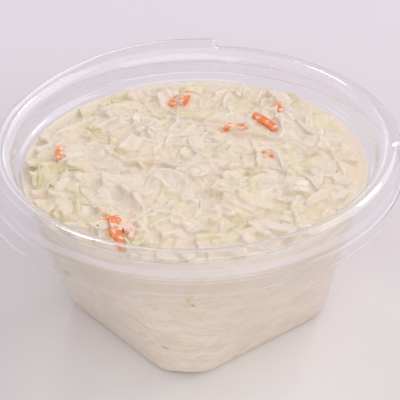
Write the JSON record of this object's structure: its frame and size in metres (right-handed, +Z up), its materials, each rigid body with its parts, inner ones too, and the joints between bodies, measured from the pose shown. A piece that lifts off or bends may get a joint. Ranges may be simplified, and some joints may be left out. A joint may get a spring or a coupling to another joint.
{
  "type": "coleslaw in a clear plastic cup",
  "caption": "Creamy coleslaw of diced and shredded cabbage with bits of carrot, filling a clear formed plastic cup with a square foot and a round flanged mouth.",
  "frame": {"origin": "centre of the bounding box's bottom face, on the surface the cup stands on; the cup's axis is 1.29 mm towards +X from it, because the lip is trimmed off centre", "axes": "+Z up along the cup's axis, -Y towards the front corner of the foot"},
  "size_m": [0.1476, 0.1476, 0.0711],
  "materials": {
    "clear_plastic": "clear, glossy",
    "dressed_cabbage": "coated with creamy dressing, moist"
  },
  "bodies": {
    "root": {"clear_cup": "clear_plastic", "coleslaw": "dressed_cabbage"}
  },
  "joints": []
}
